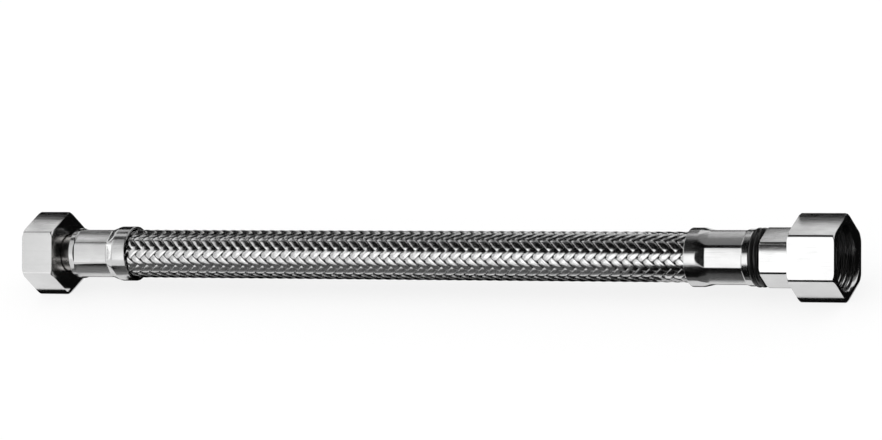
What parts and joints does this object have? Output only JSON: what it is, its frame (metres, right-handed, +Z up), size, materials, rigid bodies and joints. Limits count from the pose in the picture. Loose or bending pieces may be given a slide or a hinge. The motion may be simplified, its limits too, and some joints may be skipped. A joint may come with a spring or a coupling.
{
  "type": "flexible hose",
  "caption": "Steel-braided flexible connecting hose with crimped ferrules, a union nut at each end and a swivel joint behind one nut, for taps and heating.",
  "frame": {"origin": "centre of the bounding box on the surface that the nuts' flats lie on", "axes": "+X along the hose towards the swivel end, +Z up"},
  "size_m": [0.226, 0.022, 0.019],
  "materials": {
    "hose_rubber": "black rubber, matt",
    "braid_wire": "stainless wire, woven two over two",
    "ferrule_steel": "drawn stainless steel, bright, with crimp marks",
    "nipple_brass": "nickel-plated brass, satin",
    "nut_plating": "nickel-plated brass, bright",
    "washer_rubber": "black sealing rubber",
    "ring_plastic": "black moulded plastic"
  },
  "bodies": {
    "hose": {"inner_hose": "hose_rubber", "steel_braid": "braid_wire", "left_ferrule": "ferrule_steel", "left_nipple": "nipple_brass", "left_washer": "washer_rubber", "right_ferrule": "ferrule_steel", "right_nipple": "nipple_brass", "swivel_seal_1": "washer_rubber", "swivel_seal_2": "washer_rubber", "swivel_ring": "ring_plastic"},
    "left_nut": {"left_nut": "nut_plating"},
    "swivel": {"hex_collar": "nut_plating", "seat_nipple": "nipple_brass", "right_washer": "washer_rubber"},
    "right_nut": {"right_nut": "nut_plating"}
  },
  "joints": [
    {"name": "left_nut_spin", "type": "hinge", "parent": "hose", "child": "left_nut", "pos_m": [-0.10855, 0, 0.0095], "axis": [1, 0, 0], "continuous": true},
    {"name": "swivel_spin", "type": "hinge", "parent": "hose", "child": "swivel", "pos_m": [0.09665, 0, 0.0095], "axis": [1, 0, 0], "continuous": true},
    {"name": "right_nut_spin", "type": "hinge", "parent": "swivel", "child": "right_nut", "pos_m": [0.107, 0, 0.0095], "axis": [1, 0, 0], "continuous": true}
  ]
}
